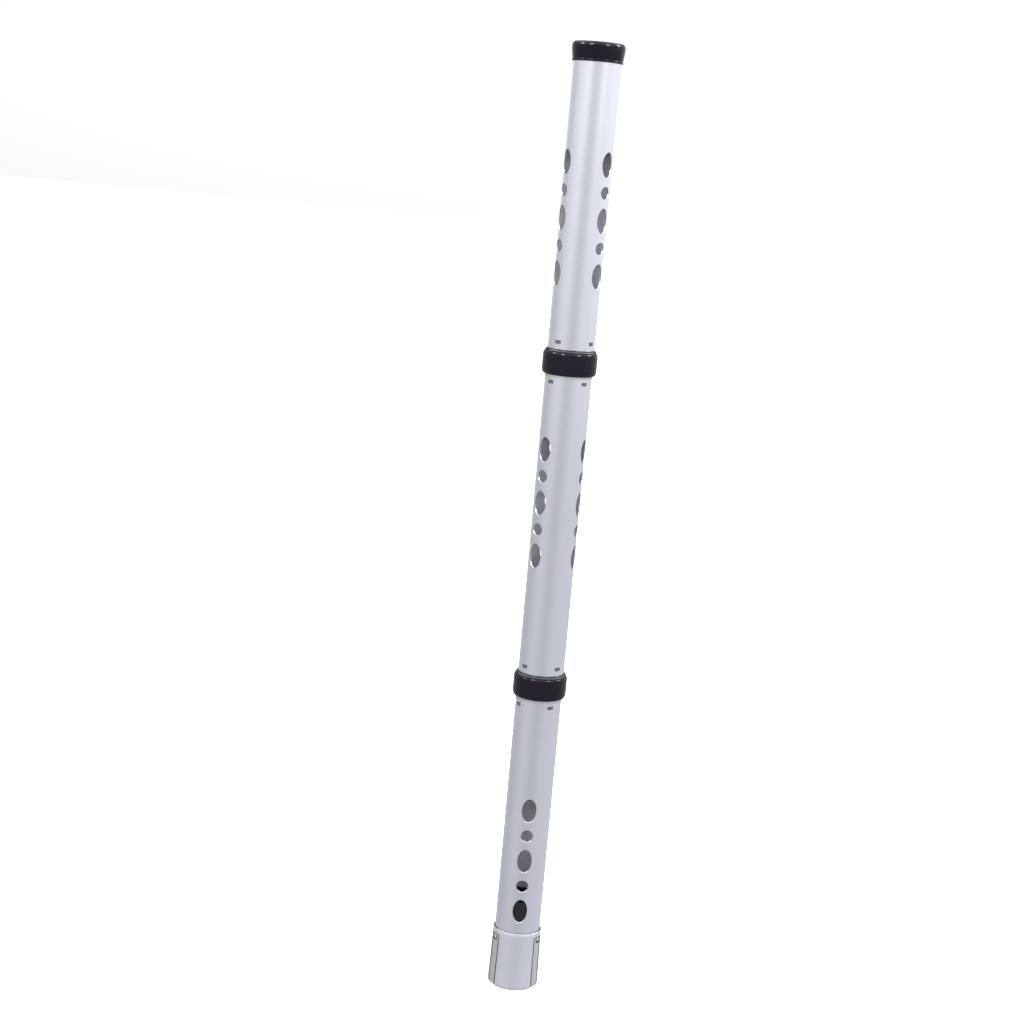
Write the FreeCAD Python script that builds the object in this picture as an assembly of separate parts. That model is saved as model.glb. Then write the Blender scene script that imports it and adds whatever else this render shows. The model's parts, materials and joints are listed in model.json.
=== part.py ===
"""Three-section ball pick-up tube: an aluminium tube with rows of windows, two quick-thread couplings,
a sprung mouth at the bottom and a pull-off cap at the top.

Frame: +Z runs up the tube from the mouth to the cap, and the origin is the centre of the mouth's rim.
Angles are measured about +Z from the front, which is -Y, so a positive angle lies towards +X.
All lengths are in millimetres and all angles in degrees.
"""
import FreeCAD, Part
import math
import os

# ---- driving dimensions -------------------------------------------------------------------------
TUBE_R = 22.5            # outer radius of the three tubes
TUBE_WALL = 1.0
BALL_BORE_R = 20.4       # narrowest fixed bore, which passes a 40 mm ball
FIT = 0.05               # gap of two parts that are glued or pressed together
TOTAL_LENGTH = 920.0

# Windows: five in a column, three columns round each tube
COLUMNS = 3
WINDOW_PITCH = 25.8
OVAL_WIDTH, OVAL_HEIGHT = 13.8, 23.1
ROUND_DIAMETER = 11.5
DEBURR = 0.3             # chamfer round every window
LOWEST_WINDOW = {"lower": 82.1, "middle": 437.2, "upper": 706.6}

# Couplings: the two collars' middle heights, and the quick thread that they turn on
COLLAR_MIDDLE = {"lower": 309.0, "upper": 624.5}
COLLAR_HEIGHT = 24.4
COLLAR_R = 26.2
THREAD_STARTS = 4
THREAD_LEAD = 27.0       # rise for one whole turn
CLOSING_TURN = 79.0      # turn from the first bite of the thread to home

# Mouth: a ferrule with three leaf springs, each in a slot of its own
FERRULE_HEIGHT = 58.5
FERRULE_TOP_R, FERRULE_RIM_R = 24.1, 25.0
FERRULE_TAPER_R, FERRULE_TAPER_HEIGHT = 23.75, 2.2      # the steeper taper at its top
LEAVES = 3
FIRST_LEAF = 58.0        # the first leaf's angle from the front
LEAF_WIDTH, LEAF_THICKNESS = 9.6, 0.5
LEAF_GAP = 1.4           # between a leaf and each side of its slot

# End cap
CAP_HEIGHT = 18.0
CAP_R, CAP_LIP_R = 25.0, 23.95
CAP_EDGE_WIDTH, CAP_EDGE_HEIGHT = 3.0, 4.5      # rounding of its top edge
CAP_ROOF = 3.0           # thickness of its top

# ---- worked out from them -----------------------------------------------------------------------
TUBE_BORE_R = TUBE_R - TUBE_WALL
QUARTER = 360.0 / THREAD_STARTS
CLOCK = QUARTER - CLOSING_TURN          # how far a section sits past the mark it started from
SECTION_ANGLE = {
    "lower": 0.0,
    "middle": 120.0 + CLOCK - 2 * QUARTER,
    "upper": 120.0 + 2 * CLOCK - QUARTER,
}
QUARTER_ARC = 0.5523     # how far a curve's handles reach towards the corner of a quarter arc
UP = FreeCAD.Vector(0, 0, 1)
CENTRE = FreeCAD.Vector(0, 0, 0)


# ---- helpers ------------------------------------------------------------------------------------
def turned(outline):
    """A solid of revolution about Z. outline is a closed list of (radius, height) points, joined by
    straight lines. An entry of two such points is a rounding: the line curves round the first,
    which is the sharp corner it replaces, and ends at the second."""
    def at(point):
        return FreeCAD.Vector(point[0], 0, point[1])

    edges = []
    here = at(outline[0])
    for step in outline[1:] + [outline[0]]:
        if isinstance(step[0], tuple):
            corner, end = at(step[0]), at(step[1])
            curve = Part.BezierCurve()
            leaving = here + (corner - here) * QUARTER_ARC
            arriving = end + (corner - end) * QUARTER_ARC
            curve.setPoles([here, leaving, arriving, end])
            edges.append(curve.toShape())
        else:
            end = at(step)
            edges.append(Part.LineSegment(here, end).toShape())
        here = end
    face = Part.Face(Part.Wire(edges))
    return face.revolve(CENTRE, UP, 360)


def ring(inner, outer, low, high):
    """A plain ring about Z."""
    return turned([(inner, low), (outer, low), (outer, high), (inner, high)])


def rounded(corner_r, corner_z, end_r, end_z):
    """An entry of turned's outline that rounds off one corner."""
    return (corner_r, corner_z), (end_r, end_z)


def spun(shape, angle):
    """A copy of shape turned about Z."""
    copy = shape.copy()
    copy.rotate(CENTRE, UP, angle)
    return copy


def from_front(shape, angle):
    """Takes a shape drawn towards +X to the given angle from the front."""
    return spun(shape, angle - 90.0)


def export(name, shape):
    """Writes one sub-part and prints its volume."""
    shape.exportStep(os.path.join("parts", name + ".step"))
    print(f"{name:22s} solids {len(shape.Solids)} valid {shape.isValid()} mm3 {shape.Volume:.0f}")


# ---- tubes --------------------------------------------------------------------------------------
def window_tool(width, height, z):
    """An elliptical punch that points along +X at height z."""
    start = FreeCAD.Vector(TUBE_R / 2, 0, z)
    if height > width:
        curve = Part.Ellipse(FreeCAD.Vector(0, 0, height / 2), FreeCAD.Vector(0, width / 2, 0), CENTRE)
    else:
        curve = Part.Circle(CENTRE, FreeCAD.Vector(1, 0, 0), width / 2)
    face = Part.Face(Part.Wire([curve.toShape()]))
    face.translate(start)
    return face.extrude(FreeCAD.Vector(TUBE_R, 0, 0))


def window_edges(tube):
    """The windows' edges on the outside of the tube. They are free curves, unlike the tube's two
    end circles and the straight seam of its surface."""
    edges = []
    for edge in tube.Edges:
        middle = edge.valueAt((edge.FirstParameter + edge.LastParameter) / 2)
        outside = math.hypot(middle.x, middle.y) > TUBE_R - TUBE_WALL / 2
        if outside and isinstance(edge.Curve, Part.BSplineCurve):
            edges.append(edge)
    return edges


def windowed_tube(low, high, lowest_window, section_angle):
    """A tube with three columns of windows: oval, round, oval, round, oval."""
    tube = ring(TUBE_BORE_R, TUBE_R, low, high)
    punches = []
    for column in range(COLUMNS):
        angle = section_angle + column * 360.0 / COLUMNS
        for row in range(5):
            width, height = (OVAL_WIDTH, OVAL_HEIGHT) if row % 2 == 0 else (ROUND_DIAMETER,) * 2
            tool = window_tool(width, height, lowest_window + row * WINDOW_PITCH)
            punches.append(from_front(tool, angle))
    tube = tube.cut(punches)
    return tube.makeChamfer(DEBURR, window_edges(tube))


# ---- couplings ----------------------------------------------------------------------------------
# Heights in this section are measured from the collar's middle.
HALF = COLLAR_HEIGHT / 2
NOSE_TOP = 1.0
GASKET_TOP = 2.2                        # the upper tube's end rests on the gasket
FLANGE_TOP = -HALF - 0.15               # the collar hangs clear of the spigot's flange
FLANGE_BOTTOM = -15.0                   # the lower tube's end
SHANK_LENGTH = 20.0
LIP_TOP = -9.7                          # the collar's inward lip, which the threaded socket sits on
LIP_R = 23.9
SOCKET_BORE_R, SOCKET_R = 22.8, 24.8
RIB_R, GROOVE_R = 23.5, 23.8
RIB_HALF, GROOVE_HALF = 1.0, 1.3        # half thickness of a thread rib and of its groove
RIB_LOW, RIB_TOP = -11.2, LIP_TOP + THREAD_LEAD * CLOSING_TURN / 360.0
BAND_TOP = 9.2                          # the collar's plain band ends here, under the top ring
SHOULDER_R, SHOULDER_HEIGHT = 24.8, 3.5 # rounding of the band's upper edge
RING_GROOVE, RING_GROOVE_R = 0.8, 24.2  # groove between the band and the top ring
FLANGE_R = TUBE_R + 0.5


def helical_bar(inner, outer, half, low, high):
    """A right-hand helical bar whose centreline climbs from low to high, starting towards +X.
    Its flanks slope, so that it is a fifth thinner at the tip than at the root."""
    helix = Part.makeHelix(THREAD_LEAD, high - low, inner)
    tip = 0.8 * half
    corners = [(inner, -half), (outer, -tip), (outer, tip), (inner, half), (inner, -half)]
    section = Part.makePolygon([FreeCAD.Vector(r, 0, z) for r, z in corners])
    bar = Part.Wire(helix.Edges).makePipeShell([section], True, True)
    start_turn = 360.0 * low / THREAD_LEAD
    bar.translate(FreeCAD.Vector(0, 0, low))
    return spun(bar, start_turn)


def thread_bars(inner, outer, half, low, high):
    bar = helical_bar(inner, outer, half, low, high)
    return [spun(bar, start * QUARTER) for start in range(THREAD_STARTS)]


def spigot():
    """Threaded nose on the lower tube's top: shank inside the tube, flange on its end, thread ribs."""
    shank_end = FLANGE_BOTTOM - SHANK_LENGTH
    chamfer = 0.6
    body = turned([
        (BALL_BORE_R, shank_end),
        (TUBE_BORE_R - FIT, shank_end),
        (TUBE_BORE_R - FIT, FLANGE_BOTTOM),
        (FLANGE_R, FLANGE_BOTTOM),
        (FLANGE_R, FLANGE_TOP - 0.4),
        (TUBE_R - 0.3, FLANGE_TOP),
        (TUBE_R - 0.3, NOSE_TOP - chamfer),
        (TUBE_R - 0.3 - chamfer, NOSE_TOP),
        (BALL_BORE_R + 0.3, NOSE_TOP),
        (BALL_BORE_R, NOSE_TOP - 0.3),
    ])
    root = TUBE_R - 0.6
    ribs = thread_bars(root, RIB_R, RIB_HALF, RIB_LOW + RIB_HALF, RIB_TOP - RIB_HALF)
    return body.fuse(ribs).removeSplitter()


def socket():
    """Threaded sleeve inside the collar, with one helical groove for each rib, open at the bottom."""
    sleeve = ring(SOCKET_BORE_R, SOCKET_R, LIP_TOP, GASKET_TOP)
    below = LIP_TOP - 2 * GROOVE_HALF
    above = RIB_TOP - RIB_HALF + 0.6
    return sleeve.cut(thread_bars(SOCKET_BORE_R - 0.4, GROOVE_R, GROOVE_HALF, below, above))


def collar():
    """Outer shell of the coupling: holds the socket below and is glued over the upper tube above."""
    rim_r, rim_height = 24.3, 5.0
    return turned([
        (LIP_R, -HALF),
        (rim_r, -HALF),
        rounded(COLLAR_R, -HALF, COLLAR_R, -HALF + rim_height),
        (COLLAR_R, BAND_TOP - SHOULDER_HEIGHT),
        rounded(COLLAR_R, BAND_TOP, SHOULDER_R, BAND_TOP),
        (TUBE_R + FIT, BAND_TOP),
        (TUBE_R + FIT, GASKET_TOP),
        (SOCKET_R + FIT, GASKET_TOP),
        (SOCKET_R + FIT, LIP_TOP),
        (LIP_R, LIP_TOP),
    ])


def collar_top_ring():
    """Ring that closes the collar's upper end round the tube: a neck above a bevelled skirt."""
    low = BAND_TOP + RING_GROOVE
    skirt_r, neck_r, bevel_top = 25.1, 23.7, HALF - 1.0
    return turned([
        (TUBE_R + FIT, BAND_TOP),
        (RING_GROOVE_R, BAND_TOP),
        (RING_GROOVE_R, low),
        (skirt_r, low),
        (skirt_r, low + 0.15),
        (neck_r + 0.2, bevel_top),
        (neck_r, bevel_top),
        (neck_r, HALF - 0.3),
        rounded(neck_r, HALF, neck_r - 0.3, HALF),
        (TUBE_R + 0.35, HALF),
        (TUBE_R + FIT, HALF - 0.3),
    ])


def gasket():
    """Flat rubber ring that the nose presses against the upper tube's end."""
    return ring(20.8, 22.3, NOSE_TOP, GASKET_TOP)


# ---- mouth --------------------------------------------------------------------------------------
TUBE_LOW = 42.0                         # the lower tube stands on a ledge inside the ferrule
BUSH_LOW, BUSH_TOP = 3.4, 91.0
SLOT_WIDTH, SLOT_TOP = LEAF_WIDTH + 2 * LEAF_GAP, 53.3
SEAT_R, SEAT_LOW = 23.35, 43.0          # the seat behind a leaf's root
LEAF_ROOT_R, LEAF_BELLY_R = 23.9, 24.75 # outer radius of a leaf at its root and at its belly
LEAF_TOP = SLOT_TOP - 1.0
LEAF_BEND, LEAF_LOW = 4.6, 0.4          # a leaf curls in under the rim between these heights
LEAF_TOE_R = 22.2                       # the flat under the curl ends here
LEAF_LIP_R, LEAF_LIP_TOP = 19.2, 2.9    # the lip that a ball has to push past, turned back up
SCREW_HEIGHT = SLOT_TOP - 4.3
SCREW_SHANK_R = 1.1
LEAF_ANGLES = [FIRST_LEAF + leaf * 360.0 / LEAVES for leaf in range(LEAVES)]


def slot_tool(low, high):
    """A slot that runs out along +X through the wall, with rounded upper corners."""
    half, corner = SLOT_WIDTH / 2, 1.2
    diagonal = corner * (1 - math.sqrt(0.5))

    def at(y, z):
        return FreeCAD.Vector(TUBE_R / 2, y, z)

    edges = [
        Part.LineSegment(at(-half, low), at(half, low)),
        Part.LineSegment(at(half, low), at(half, high - corner)),
        Part.Arc(at(half, high - corner), at(half - diagonal, high - diagonal), at(half - corner, high)),
        Part.LineSegment(at(half - corner, high), at(corner - half, high)),
        Part.Arc(at(corner - half, high), at(diagonal - half, high - diagonal), at(-half, high - corner)),
        Part.LineSegment(at(-half, high - corner), at(-half, low)),
    ]
    face = Part.Face(Part.Wire([edge.toShape() for edge in edges]))
    return face.extrude(FreeCAD.Vector(TUBE_R, 0, 0))


def screw_hole(radius):
    return Part.makeCylinder(radius, TUBE_R, FreeCAD.Vector(TUBE_R / 2, 0, SCREW_HEIGHT),
                             FreeCAD.Vector(1, 0, 0))


def ferrule():
    """Silver sleeve round the tube's lower end, with a slot and a seat for each leaf spring."""
    body = turned([
        (TUBE_BORE_R, 0.6),
        (TUBE_BORE_R + 0.6, 0),
        (FERRULE_RIM_R - 1.6, 0),
        rounded(FERRULE_RIM_R, 0, FERRULE_RIM_R - 0.05, 3.6),
        (FERRULE_TOP_R, FERRULE_HEIGHT - FERRULE_TAPER_HEIGHT),
        (FERRULE_TAPER_R, FERRULE_HEIGHT - 0.1),
        (FERRULE_TAPER_R - 0.1, FERRULE_HEIGHT),
        (TUBE_R + FIT, FERRULE_HEIGHT),
        (TUBE_R + FIT, TUBE_LOW),
        (TUBE_BORE_R, TUBE_LOW),
    ])
    seat = Part.makeCylinder(SEAT_R, FERRULE_HEIGHT)
    pocket = slot_tool(-1.0, SLOT_TOP).cut(seat)
    gap = slot_tool(-1.0, SEAT_LOW)
    tools = []
    for angle in LEAF_ANGLES:
        tools += [from_front(tool, angle) for tool in (pocket, gap, screw_hole(SCREW_SHANK_R + FIT))]
    return body.cut(tools)


def bush():
    """Black guide sleeve inside the tube's lower end; the screws go through its wall."""
    body = turned([
        (BALL_BORE_R, BUSH_LOW + 0.8),
        (BALL_BORE_R + 0.6, BUSH_LOW),
        (TUBE_BORE_R - FIT, BUSH_LOW),
        (TUBE_BORE_R - FIT, BUSH_TOP),
        (BALL_BORE_R + 0.5, BUSH_TOP),
        (BALL_BORE_R, BUSH_TOP - 0.8),
    ])
    return body.cut([from_front(screw_hole(SCREW_SHANK_R + FIT), angle) for angle in LEAF_ANGLES])


def lower_tube():
    tube = windowed_tube(TUBE_LOW, COLLAR_MIDDLE["lower"] + FLANGE_BOTTOM,
                         LOWEST_WINDOW["lower"], SECTION_ANGLE["lower"])
    return tube.cut([from_front(screw_hole(SCREW_SHANK_R + FIT), angle) for angle in LEAF_ANGLES])


def leaf_spring():
    """A spring strip, drawn towards +X and curved like the ferrule that it lies in: screwed at its
    root, free below, and curled in under the rim to a lip that stands inside the bore."""
    inner_belly_r = LEAF_BELLY_R - LEAF_THICKNESS
    inner_lip_r = LEAF_LIP_R + LEAF_THICKNESS
    inner_low = LEAF_LOW + LEAF_THICKNESS
    sleeve = turned([
        (LEAF_ROOT_R, LEAF_TOP),
        (LEAF_BELLY_R, LEAF_BEND),
        rounded(LEAF_BELLY_R, LEAF_LOW, LEAF_TOE_R, LEAF_LOW),
        rounded(LEAF_LIP_R, LEAF_LOW, LEAF_LIP_R, LEAF_LIP_TOP),
        (inner_lip_r, LEAF_LIP_TOP),
        rounded(inner_lip_r, inner_low, LEAF_TOE_R, inner_low),
        rounded(inner_belly_r, inner_low, inner_belly_r, LEAF_BEND),
        (LEAF_ROOT_R - LEAF_THICKNESS, LEAF_TOP),
    ])
    strip = Part.makeBox(2 * TUBE_R, LEAF_WIDTH, LEAF_TOP, FreeCAD.Vector(0, -LEAF_WIDTH / 2, 0))
    return sleeve.common(strip).cut(screw_hole(SCREW_SHANK_R + 0.3))


def leaf_screw():
    """Pan-head screw, drawn along Z with its point at the origin and then laid towards +X."""
    head_r, head_height, play = 2.1, 0.9, 0.45      # play lets the leaf lean out under the head
    point = BALL_BORE_R + 0.3
    under_head = LEAF_ROOT_R + play - point
    top = under_head + head_height
    body = turned([
        (0, 0),
        (SCREW_SHANK_R, 0),
        (SCREW_SHANK_R, under_head),
        (head_r, under_head),
        (head_r, under_head + 0.3),
        rounded(head_r, top, head_r - 0.9, top),
        (0, top),
    ])
    arm, blade, depth = 1.3, 0.6, 0.7               # the cross recess
    floor = top - depth
    slots = [
        Part.makeBox(2 * arm, blade, depth, FreeCAD.Vector(-arm, -blade / 2, floor)),
        Part.makeBox(blade, 2 * arm, depth, FreeCAD.Vector(-blade / 2, -arm, floor)),
    ]
    screw = body.cut(slots)
    screw.rotate(CENTRE, UP, 45)
    screw.rotate(CENTRE, FreeCAD.Vector(0, 1, 0), 90)
    screw.translate(FreeCAD.Vector(point, 0, SCREW_HEIGHT))
    return screw


# ---- end cap ------------------------------------------------------------------------------------
UPPER_TUBE_TOP = TOTAL_LENGTH - CAP_ROOF
CAP_LOW = TOTAL_LENGTH - CAP_HEIGHT
O_RING_HEIGHT = TOTAL_LENGTH - 8.5
O_RING_R, O_RING_MINOR = 20.55, 0.9


def end_cap():
    """Pull-off cap: a skirt outside the tube, a closed top and a grooved plug inside."""
    plug_r, plug_bore_r = 20.9, 18.4
    plug_low = TOTAL_LENGTH - 12.5
    groove_half, groove_r = 1.0, 19.6
    bead_top = CAP_LOW + 2.2
    skirt_r = CAP_LIP_R - 0.4
    edge_low = TOTAL_LENGTH - CAP_EDGE_HEIGHT
    return turned([
        (0, UPPER_TUBE_TOP),
        (plug_bore_r, UPPER_TUBE_TOP),
        (plug_bore_r, plug_low),
        (plug_r - 0.5, plug_low),
        (plug_r, plug_low + 0.5),
        (plug_r, O_RING_HEIGHT - groove_half),
        (groove_r, O_RING_HEIGHT - groove_half),
        (groove_r, O_RING_HEIGHT + groove_half),
        (plug_r, O_RING_HEIGHT + groove_half),
        (plug_r, UPPER_TUBE_TOP),
        (TUBE_R + 2 * FIT, UPPER_TUBE_TOP),
        (TUBE_R + 2 * FIT, CAP_LOW),
        (CAP_LIP_R - 0.5, CAP_LOW),
        rounded(CAP_LIP_R, CAP_LOW, CAP_LIP_R, CAP_LOW + 0.5),
        (CAP_LIP_R, bead_top - 0.7),
        rounded(CAP_LIP_R, bead_top, skirt_r, bead_top),
        rounded(CAP_R - 0.2, TOTAL_LENGTH - 10.0, CAP_R, edge_low),
        rounded(CAP_R, TOTAL_LENGTH, CAP_R - CAP_EDGE_WIDTH, TOTAL_LENGTH),
        (0, TOTAL_LENGTH),
    ])


def cap_o_ring():
    return Part.makeTorus(O_RING_R, O_RING_MINOR, FreeCAD.Vector(0, 0, O_RING_HEIGHT), UP)


# ---- export -------------------------------------------------------------------------------------
def main():
    os.makedirs("parts", exist_ok=True)

    export("lower_tube", lower_tube())
    export("mouth_ferrule", ferrule())
    export("mouth_bush", bush())
    for name, angle in zip(("right", "rear", "left"), LEAF_ANGLES):
        export(f"leaf_spring_{name}", from_front(leaf_spring(), angle))
    export("leaf_screws", Part.makeCompound([from_front(leaf_screw(), angle) for angle in LEAF_ANGLES]))

    for joint, turn in (("lower", SECTION_ANGLE["lower"]), ("upper", SECTION_ANGLE["middle"])):
        pieces = {
            f"{joint}_spigot": spigot(),
            f"{joint}_gasket": gasket(),
            f"{joint}_socket": socket(),
            f"{joint}_collar": collar(),
            f"{joint}_collar_ring": collar_top_ring(),
        }
        for name, shape in pieces.items():
            placed = spun(shape, turn)
            placed.translate(FreeCAD.Vector(0, 0, COLLAR_MIDDLE[joint]))
            export(name, placed)

    export("middle_tube", windowed_tube(
        COLLAR_MIDDLE["lower"] + GASKET_TOP, COLLAR_MIDDLE["upper"] + FLANGE_BOTTOM,
        LOWEST_WINDOW["middle"], SECTION_ANGLE["middle"]))
    export("upper_tube", windowed_tube(
        COLLAR_MIDDLE["upper"] + GASKET_TOP, UPPER_TUBE_TOP,
        LOWEST_WINDOW["upper"], SECTION_ANGLE["upper"]))
    export("end_cap", end_cap())
    export("cap_o_ring", cap_o_ring())


main()
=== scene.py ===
"""Looks for the ball pick-up tube: materials, printed index marks, the studio and the camera.
Lengths are in metres in the CAD's own frame: +Z up the tube, the front is -Y."""
import json
import math

import bmesh
import bpy
from mathutils import Matrix, Vector


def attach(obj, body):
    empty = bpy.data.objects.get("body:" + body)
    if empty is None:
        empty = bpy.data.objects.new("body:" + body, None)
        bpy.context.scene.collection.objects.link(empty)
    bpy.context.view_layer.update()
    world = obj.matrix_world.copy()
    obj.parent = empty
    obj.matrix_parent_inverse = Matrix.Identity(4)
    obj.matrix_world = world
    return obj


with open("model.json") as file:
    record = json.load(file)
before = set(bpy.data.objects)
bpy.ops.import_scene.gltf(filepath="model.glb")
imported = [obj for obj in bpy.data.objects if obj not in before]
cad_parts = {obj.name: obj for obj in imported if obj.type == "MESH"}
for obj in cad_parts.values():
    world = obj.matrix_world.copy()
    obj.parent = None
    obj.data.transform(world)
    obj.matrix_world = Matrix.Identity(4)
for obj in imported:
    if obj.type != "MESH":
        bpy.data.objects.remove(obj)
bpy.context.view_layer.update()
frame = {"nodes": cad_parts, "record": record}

MM = 0.001


# ---- materials ----------------------------------------------------------------------------------
def new_material(name):
    material = bpy.data.materials.new(name)
    material.use_nodes = True
    tree = material.node_tree
    shader = next(node for node in tree.nodes if node.type == "BSDF_PRINCIPLED")
    return material, tree, shader


def add(tree, kind, **inputs):
    """Adds a node and sets its inputs by name."""
    node = tree.nodes.new(kind)
    for name, value in inputs.items():
        node.inputs[name.replace("_", " ")].default_value = value
    return node


def noise(tree, scale, detail=3.0, roughness=0.55, stretch=(1, 1, 1)):
    """Noise in object space, where one unit is a metre, stretched along an axis."""
    where = tree.nodes.new("ShaderNodeTexCoord")
    mapping = tree.nodes.new("ShaderNodeMapping")
    mapping.inputs["Scale"].default_value = stretch
    texture = add(tree, "ShaderNodeTexNoise", Scale=scale, Detail=detail, Roughness=roughness)
    tree.links.new(where.outputs["Object"], mapping.inputs["Vector"])
    tree.links.new(mapping.outputs["Vector"], texture.inputs["Vector"])
    return texture.outputs["Fac"]


def ramp(tree, source, low, high, start=0.3, end=0.7):
    """Maps a 0 to 1 value to a value or colour between low and high."""
    node = tree.nodes.new("ShaderNodeValToRGB")
    first, last = node.color_ramp.elements
    first.position, last.position = start, end
    first.color = low if isinstance(low, tuple) else (low, low, low, 1)
    last.color = high if isinstance(high, tuple) else (high, high, high, 1)
    tree.links.new(source, node.inputs["Fac"])
    return node.outputs["Color"]


def bump(tree, shader, source, distance, strength=1.0):
    node = add(tree, "ShaderNodeBump", Strength=strength, Distance=distance)
    tree.links.new(source, node.inputs["Height"])
    tree.links.new(node.outputs["Normal"], shader.inputs["Normal"])


def mix(tree, factor, first, second):
    """Colour or value first where factor is 0, and second where it is 1."""
    node = tree.nodes.new("ShaderNodeMix")
    node.data_type = "RGBA"
    colours = [socket for socket in node.inputs if socket.type == "RGBA"]
    tree.links.new(factor, node.inputs["Factor"])
    tree.links.new(first, colours[0])
    tree.links.new(second, colours[1])
    return next(socket for socket in node.outputs if socket.type == "RGBA")


def flattened_place(tree):
    """A point's offset from the tube's axis, as a vector with no height, and its normal."""
    where = tree.nodes.new("ShaderNodeTexCoord")
    flat = tree.nodes.new("ShaderNodeVectorMath")
    flat.operation = "MULTIPLY"
    flat.inputs[1].default_value = (1, 1, 0)
    tree.links.new(where.outputs["Object"], flat.inputs[0])
    return flat.outputs["Vector"], where.outputs["Normal"]


def vector_math(tree, operation, output, *sources):
    node = tree.nodes.new("ShaderNodeVectorMath")
    node.operation = operation
    for socket, source in zip(node.inputs, sources):
        tree.links.new(source, socket)
    return node.outputs[output]


def step(tree, source, start, end):
    """0 up to start and 1 from end on."""
    node = tree.nodes.new("ShaderNodeMapRange")
    node.inputs["From Min"].default_value = start
    node.inputs["From Max"].default_value = end
    tree.links.new(source, node.inputs["Value"])
    return node.outputs["Result"]


def outside_mask(tree, inner_radius, outer_radius):
    """0 on a tube's inside and 1 on its outside, from the distance to the tube's axis."""
    offset, _ = flattened_place(tree)
    return step(tree, vector_math(tree, "LENGTH", "Value", offset), inner_radius, outer_radius)


def facing_mask(tree, start, end):
    """0 on faces that look sideways or along the tube, and 1 on those that face away from its axis.
    start and end are cosines of the angle between the face's normal and straight outwards."""
    offset, normal = flattened_place(tree)
    outward = vector_math(tree, "NORMALIZE", "Vector", offset)
    return step(tree, vector_math(tree, "DOT_PRODUCT", "Value", outward, normal), start, end)


def satin_aluminium(name, dark, light, roughness, streaks, grain, wall, inside, sideways_shade_colours):
    """Satin anodised outside, with draw lines along the tube; the inside has its own colours, duller on
    the tube and darkened to painted shade on the ferrule. wall is the pair of radii between which the
    inside turns into the outside. The last two arguments are the darkest and lightest colours of the
    inside and of the faces that look sideways, such as window walls and chamfers, which are darkened as
    painted shade."""
    material, tree, shader = new_material(name)
    shader.inputs["Metallic"].default_value = 1.0
    outside = outside_mask(tree, *wall)
    drawn = noise(tree, 900, detail=4, stretch=(1, 1, 0.02))
    cloud = noise(tree, 14, detail=2)
    # inside colours: a duller bare wall on the tube, and near-black painted shade on the ferrule
    inner_tone_and_shade = ramp(tree, cloud, *inside)
    # faces that look sideways, such as window walls and chamfers, are darkened: painted shade
    painted_sideways_shade = ramp(tree, cloud, *sideways_shade_colours)
    skin = mix(tree, facing_mask(tree, 0.80, 0.93), painted_sideways_shade, ramp(tree, cloud, dark, light))
    tree.links.new(mix(tree, outside, inner_tone_and_shade, skin), shader.inputs["Base Color"])
    smooth = ramp(tree, drawn, roughness - streaks, roughness + streaks)
    rough = ramp(tree, drawn, 0.62, 0.70)
    tree.links.new(mix(tree, outside, rough, smooth), shader.inputs["Roughness"])
    bump(tree, shader, noise(tree, 5200, detail=2), grain, 0.4)
    return material


def black_plastic(name, colour, roughness, grain, specular=0.5):
    material, tree, shader = new_material(name)
    shader.inputs["Specular IOR Level"].default_value = specular
    shader.inputs["Specular Tint"].default_value = (0.97, 0.95, 1.0, 1)
    lighter = tuple(1.35 * c for c in colour) + (1,)
    tree.links.new(ramp(tree, noise(tree, 60), colour + (1,), lighter), shader.inputs["Base Color"])
    tree.links.new(ramp(tree, noise(tree, 350, detail=5), roughness - 0.03, roughness + 0.05),
                   shader.inputs["Roughness"])
    bump(tree, shader, noise(tree, grain, detail=2), 0.003 * MM, 0.4)
    return material


def brushed_steel(name, dark, light, roughness, along, shade_side_faces=False):
    """Steel brushed along an axis, optionally with near-black painted shade on the faces that don't face
    outwards (the last argument).
    """
    material, tree, shader = new_material(name)
    shader.inputs["Metallic"].default_value = 1.0
    grain = noise(tree, 2500, detail=4, stretch=along)
    colour = ramp(tree, grain, dark, light)
    if shade_side_faces:
        # near-black painted shade on the faces that look sideways
        painted_side_shade = ramp(tree, grain, (0.02, 0.02, 0.022, 1), (0.05, 0.05, 0.052, 1))
        colour = mix(tree, facing_mask(tree, 0.25, 0.55), painted_side_shade, colour)
    tree.links.new(colour, shader.inputs["Base Color"])
    tree.links.new(ramp(tree, grain, roughness - 0.06, roughness + 0.08), shader.inputs["Roughness"])
    bump(tree, shader, grain, 0.004 * MM, 0.5)
    return material


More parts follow.
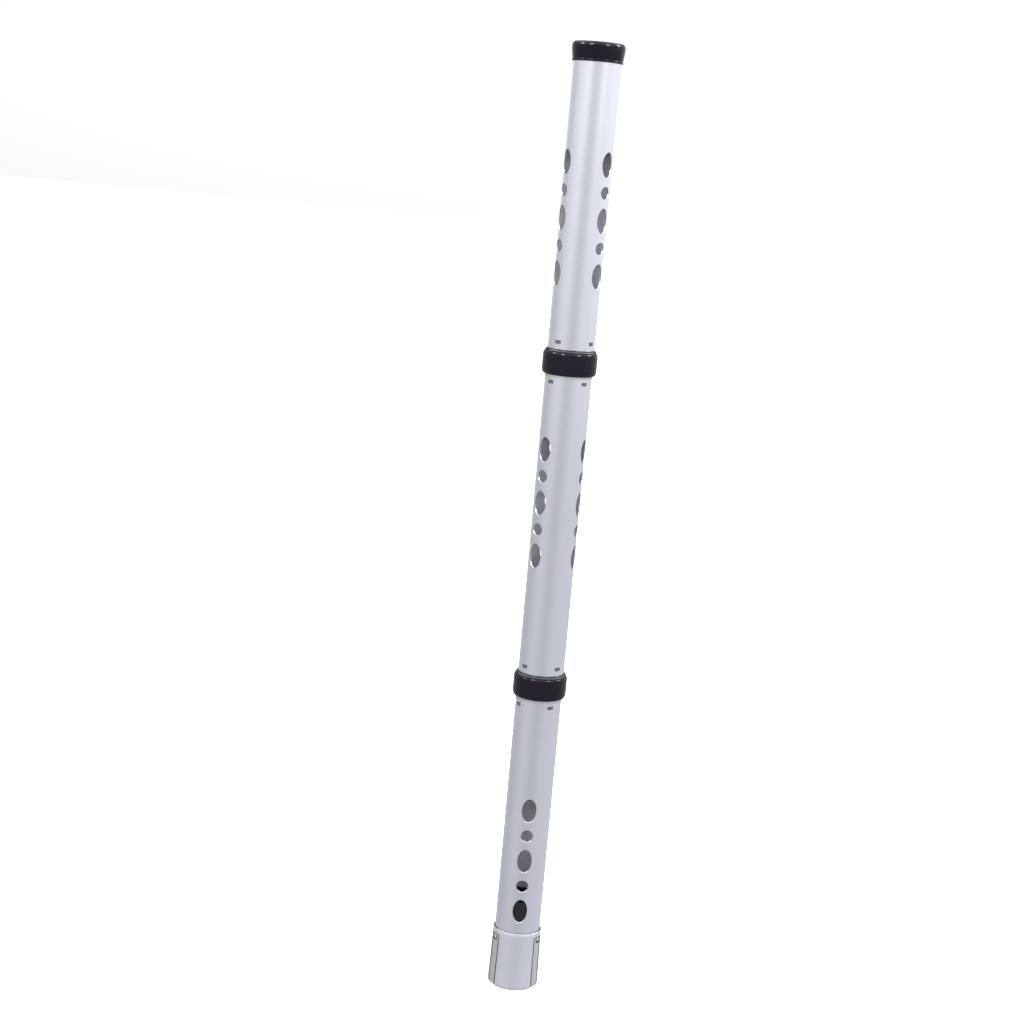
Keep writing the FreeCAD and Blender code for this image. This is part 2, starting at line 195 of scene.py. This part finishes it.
finish = {
    "tube_silver": satin_aluminium(
        "tube_silver", (0.67, 0.685, 0.77, 1), (0.70, 0.715, 0.80, 1),
        roughness=0.24, streaks=0.012, grain=0.003 * MM, wall=(21.6 * MM, 22.1 * MM),
        inside=((0.58, 0.59, 0.63, 1), (0.64, 0.65, 0.69, 1)),
        # window walls and chamfers darkened as painted shade, to dim their reflection
        sideways_shade_colours=((0.26, 0.26, 0.28, 1), (0.32, 0.32, 0.34, 1))),
    "ferrule_silver": satin_aluminium(
        "ferrule_silver", (0.66, 0.68, 0.76, 1), (0.69, 0.71, 0.79, 1),
        roughness=0.33, streaks=0.006, grain=0.001 * MM, wall=(23.60 * MM, 23.76 * MM),
        # the ferrule's inside is near-black painted shade: its bore, its slot walls and the inner top
        # edge, where a dark line meets the tube; its sideways faces are slightly darkened as painted
        # shade
        inside=((0.05, 0.05, 0.055, 1), (0.08, 0.08, 0.085, 1)),
        sideways_shade_colours=((0.60, 0.61, 0.66, 1), (0.64, 0.65, 0.70, 1))),
    "spigot_silver": brushed_steel(
        "spigot_silver", (0.46, 0.46, 0.47, 1), (0.58, 0.58, 0.59, 1), roughness=0.32, along=(1, 1, 30)),
    # the leaf's side faces get near-black painted shade, for the shadowed gap between the leaf and its
    # slot
    "leaf_steel": brushed_steel(
        "leaf_steel", (0.44, 0.445, 0.445, 1), (0.68, 0.685, 0.68, 1), roughness=0.36, along=(1, 1, 0.03),
        shade_side_faces=True),
    "screw_steel": brushed_steel(
        "screw_steel", (0.16, 0.16, 0.17, 1), (0.26, 0.26, 0.27, 1), roughness=0.25, along=(1, 1, 1)),
    "trim_ring": black_plastic("trim_ring", (0.002, 0.002, 0.003), 0.12, 900, specular=0.34),
    "gloss_black": black_plastic("gloss_black", (0.0027, 0.0025, 0.0040), 0.12, 900, specular=0.12),
    "socket_black": black_plastic("socket_black", (0.018, 0.018, 0.020), 0.32, 2500),
    "bush_black": black_plastic("bush_black", (0.004, 0.004, 0.005), 0.38, 3000, specular=0.15),
    "gasket_rubber": black_plastic("gasket_rubber", (0.016, 0.016, 0.016), 0.62, 4000),
}
ink, ink_tree, ink_shader = new_material("printed_ink")
ink_colour = ramp(ink_tree, noise(ink_tree, 2500), (0.006, 0.006, 0.012, 1), (0.014, 0.014, 0.022, 1))
ink_tree.links.new(ink_colour, ink_shader.inputs["Base Color"])
ink_shader.inputs["Specular IOR Level"].default_value = 0.2
ink_tree.links.new(ramp(ink_tree, noise(ink_tree, 4000), 0.42, 0.55), ink_shader.inputs["Roughness"])

slot_of = {entry["node"]: entry["material_slot"] for entry in frame["record"]["subparts"]}
for node_name, node in frame["nodes"].items():
    node.data.materials.clear()
    node.data.materials.append(finish[slot_of[node_name]])


# ---- printed index marks ------------------------------------------------------------------------
TUBE_R = 22.5 * MM
INK_THICKNESS = 0.03 * MM
BAR_WIDTH, BAR_HEIGHT, BAR_STEP = 1.25 * MM, 3.4 * MM, 1.65 * MM
BARS = 4
MARKS = 4                   # marks round the tube, a quarter turn apart
# name, body, angle of the first mark from the front, height of the marks' middle
INDEX_RINGS = [
    ("index_marks_lower", "lower_section", 30, 289.5 * MM),
    ("index_marks_middle_low", "middle_section", -49, 328.0 * MM),
    ("index_marks_middle_high", "middle_section", -49, 605.2 * MM),
    ("index_marks_upper", "upper_section", 52, 643.3 * MM),
]


def add_bar(mesh, angle, z):
    """One upright printed bar: a thin closed patch that follows the tube's surface."""
    half = BAR_WIDTH / TUBE_R / 2
    corners = []            # inner then outer, each low then high, each left, middle and right
    for radius in (TUBE_R, TUBE_R + INK_THICKNESS):
        for height in (z - BAR_HEIGHT / 2, z + BAR_HEIGHT / 2):
            for turn in (angle - half, angle, angle + half):
                spot = (radius * math.sin(turn), -radius * math.cos(turn), height)
                corners.append(mesh.verts.new(spot))
    for side in (0, 1):
        inner = [corners[i + side] for i in (0, 1, 4, 3)]
        outer = [corners[i + side] for i in (6, 7, 10, 9)]
        mesh.faces.new(reversed(inner))
        mesh.faces.new(outer)
        mesh.faces.new((inner[0], inner[1], outer[1], outer[0]))
        mesh.faces.new((inner[2], inner[3], outer[3], outer[2]))
    mesh.faces.new([corners[i] for i in (0, 6, 9, 3)])
    mesh.faces.new([corners[i] for i in (2, 5, 11, 8)])


def add_index_marks():
    for name, body, first, z in INDEX_RINGS:
        mesh = bmesh.new()
        for mark in range(MARKS):
            middle = math.radians(first + mark * 360 / MARKS)
            for bar in range(BARS):
                add_bar(mesh, middle + (bar - (BARS - 1) / 2) * BAR_STEP / TUBE_R, z)
        bmesh.ops.recalc_face_normals(mesh, faces=mesh.faces)
        data = bpy.data.meshes.new(name)
        mesh.to_mesh(data)
        mesh.free()
        data.materials.append(ink)
        piece = bpy.data.objects.new(name, data)
        bpy.context.scene.collection.objects.link(piece)
        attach(piece, body)


add_index_marks()


# ---- studio -------------------------------------------------------------------------------------
CAMERA_DISTANCE = 1.8634    # from the tube's axis
CAMERA_HEIGHT = 0.7978      # above the mouth
CAMERA_AZIMUTH = math.radians(-3.0)
CAMERA_DOWN = math.radians(9.83)
CAMERA_SIDE = math.radians(-1.289)
CAMERA_ROLL = math.radians(-5.09)
LENS_MM = 69.12

# Brightness of the studio round the tube, by azimuth from the front
BRIGHTEST = 2.0             # over every band, so that the bands fit a colour ramp
STUDIO_BANDS = [(-180, 1.04), (-120, 0.75), (-50, 1.05), (-4, 0.80), (50, 1.09), (110, 1.20), (180, 1.06)]
LOW_DOWN = 0.70             # what is left of it below the horizon
EVEN_LOW = 0.5              # how much of the bands evens out below the horizon
EVEN_LEVEL = 0.97           # and the brightness that they even out to
OVERHEAD = 4.2              # extra brightness straight overhead
DARK_BACK = 0.1             # what is left of the light high up behind the tube
BACK_NARROWING = 3.0        # how fast that dark stretch ends to the sides
# Where each of these starts and ends, as the height of a direction: -1 is down, 0 level and 1 up
LOW_DOWN_FADE = (-0.17, 0.03)
EVEN_LOW_FADE = (-0.25, 0.0)
OVERHEAD_FADE = (0.35, 0.8)
DARK_BACK_RISE = (0.12, 0.35)
DARK_BACK_FADE = (-0.05, 0.3)       # and this one by how far back the direction points
# name, azimuth from the front and radiance
SOFTBOXES = [
    ("softbox_left", -85, 48.0),
    ("softbox_left_near", -37, 56.0),
    ("softbox_right_near", 38, 56.0),
    ("softbox_right", 100, 66.0),
]
SOFTBOX_WIDTH, SOFTBOX_HEIGHT = 0.7, 1.1
SOFTBOX_REACH, SOFTBOX_RISE = 3.2, 2.2      # out from the tube, and above the height they aim at
SOFTBOX_AIM = 0.6                           # that height

FLOOR_SIZE = 60
FLOOR_DROP = 0.2 * MM       # below the mouth, so that the two don't share a plane


def add_camera():
    data = bpy.data.cameras.new("camera")
    data.lens = LENS_MM
    data.sensor_width = 36.0
    camera = bpy.data.objects.new("camera", data)
    bpy.context.scene.collection.objects.link(camera)
    forward = Vector((math.sin(CAMERA_SIDE) * math.cos(CAMERA_DOWN),
                      math.cos(CAMERA_SIDE) * math.cos(CAMERA_DOWN), -math.sin(CAMERA_DOWN)))
    right = Vector((math.cos(CAMERA_SIDE), -math.sin(CAMERA_SIDE), 0))
    down = forward.cross(right)
    rolled_right = math.cos(CAMERA_ROLL) * right + math.sin(CAMERA_ROLL) * down
    rolled_down = math.cos(CAMERA_ROLL) * down - math.sin(CAMERA_ROLL) * right
    turn = Matrix((rolled_right, -rolled_down, -forward)).transposed().to_4x4()
    place = Matrix.Translation((0, -CAMERA_DISTANCE, CAMERA_HEIGHT)) @ turn
    camera.matrix_world = Matrix.Rotation(CAMERA_AZIMUTH, 4, "Z") @ place
    bpy.context.scene.camera = camera


def add_floor():
    """A wide plain floor of pale card."""
    material, tree, shader = new_material("studio_white")
    tree.links.new(ramp(tree, noise(tree, 3), 0.66, 0.68), shader.inputs["Base Color"])
    shader.inputs["Roughness"].default_value = 0.9
    shader.inputs["Specular IOR Level"].default_value = 0.0
    bpy.ops.mesh.primitive_plane_add(size=FLOOR_SIZE, location=(0, 0, -FLOOR_DROP))
    floor = bpy.context.object
    floor.name = "floor"
    floor.data.materials.append(material)
    floor.visible_glossy = False


def add_softbox(name, azimuth, radiance):
    """A soft light above the tube's height, at an azimuth from the front, that faces the tube."""
    data = bpy.data.lights.new(name, "AREA")
    data.shape = "RECTANGLE"
    data.size, data.size_y = SOFTBOX_WIDTH, SOFTBOX_HEIGHT
    data.energy = radiance * math.pi * SOFTBOX_WIDTH * SOFTBOX_HEIGHT
    light = bpy.data.objects.new(name, data)
    bpy.context.scene.collection.objects.link(light)
    turn = math.radians(azimuth)
    aim = Vector((0, 0, SOFTBOX_AIM))
    place = aim + Vector((SOFTBOX_REACH * math.sin(turn), -SOFTBOX_REACH * math.cos(turn), SOFTBOX_RISE))
    light.location = place
    light.rotation_euler = (aim - place).to_track_quat("-Z", "Y").to_euler()
    light.visible_camera = False


def add_world():
    """A soft studio all round: bright overhead, dimmer low down and high up at the back, with soft
    bands round the tube."""
    world = bpy.data.worlds.new("studio")
    world.use_nodes = True
    tree = world.node_tree
    background = tree.nodes["Background"]
    background.inputs["Color"].default_value = (1.0, 1.0, 1.0, 1)
    where = tree.nodes.new("ShaderNodeTexCoord")
    direction = tree.nodes.new("ShaderNodeSeparateXYZ")
    tree.links.new(where.outputs["Generated"], direction.inputs["Vector"])

    def fade(source, start, end, low, high, kind="SMOOTHSTEP"):
        """A value that goes from low to high as source goes from start to end."""
        node = tree.nodes.new("ShaderNodeMapRange")
        node.interpolation_type = kind
        for name, value in (("From Min", start), ("From Max", end), ("To Min", low), ("To Max", high)):
            node.inputs[name].default_value = value
        tree.links.new(source, node.inputs["Value"])
        return node.outputs["Result"]

    def combine(operation, first, second):
        node = tree.nodes.new("ShaderNodeMath")
        node.operation = operation
        tree.links.new(first, node.inputs[0])
        tree.links.new(second, node.inputs[1])
        return node.outputs["Value"]

    towards_front = fade(direction.outputs["Y"], -1, 1, 1, -1, "LINEAR")
    azimuth = combine("ARCTAN2", direction.outputs["X"], towards_front)
    bands = tree.nodes.new("ShaderNodeValToRGB")
    bands.color_ramp.interpolation = "EASE"
    stops = bands.color_ramp.elements
    for stop, (angle, brightness) in enumerate(STUDIO_BANDS):
        if stop >= len(stops):
            stops.new(1.0)
        stops[stop].position = (angle + 180) / 360
        level = brightness / BRIGHTEST
        stops[stop].color = (level, level, level, 1)
    tree.links.new(fade(azimuth, -math.pi, math.pi, 0, 1, "LINEAR"), bands.inputs["Fac"])
    height = direction.outputs["Z"]
    even_level = EVEN_LEVEL / BRIGHTEST
    to_even = fade(bands.outputs["Color"], 0, 1, even_level, even_level - 1, "LINEAR")
    evening = combine("MULTIPLY", to_even, fade(height, *EVEN_LOW_FADE, EVEN_LOW, 0.0))
    evened = combine("ADD", bands.outputs["Color"], evening)
    around = combine("MULTIPLY", evened, fade(height, *LOW_DOWN_FADE, LOW_DOWN * BRIGHTEST, BRIGHTEST))
    overhead = fade(height, *OVERHEAD_FADE, 0.0, OVERHEAD)
    sideways = combine("MULTIPLY", direction.outputs["X"], direction.outputs["X"])
    narrowed = fade(sideways, 0, 1, 0, -BACK_NARROWING, "LINEAR")
    straight_back = combine("ADD", direction.outputs["Y"], narrowed)
    behind = fade(straight_back, *DARK_BACK_FADE, 0.0, DARK_BACK - 1)
    shaded = combine("MULTIPLY", behind, fade(height, *DARK_BACK_RISE, 0.0, 1.0))
    kept = fade(shaded, -1, 0, 0, 1, "LINEAR")
    strength = combine("MULTIPLY", combine("ADD", around, overhead), kept)
    tree.links.new(strength, background.inputs["Strength"])
    bpy.context.scene.world = world


add_camera()
add_floor()
add_world()
for softbox_name, softbox_azimuth, softbox_radiance in SOFTBOXES:
    add_softbox(softbox_name, softbox_azimuth, softbox_radiance)

bpy.context.scene.view_settings.view_transform = "Standard"
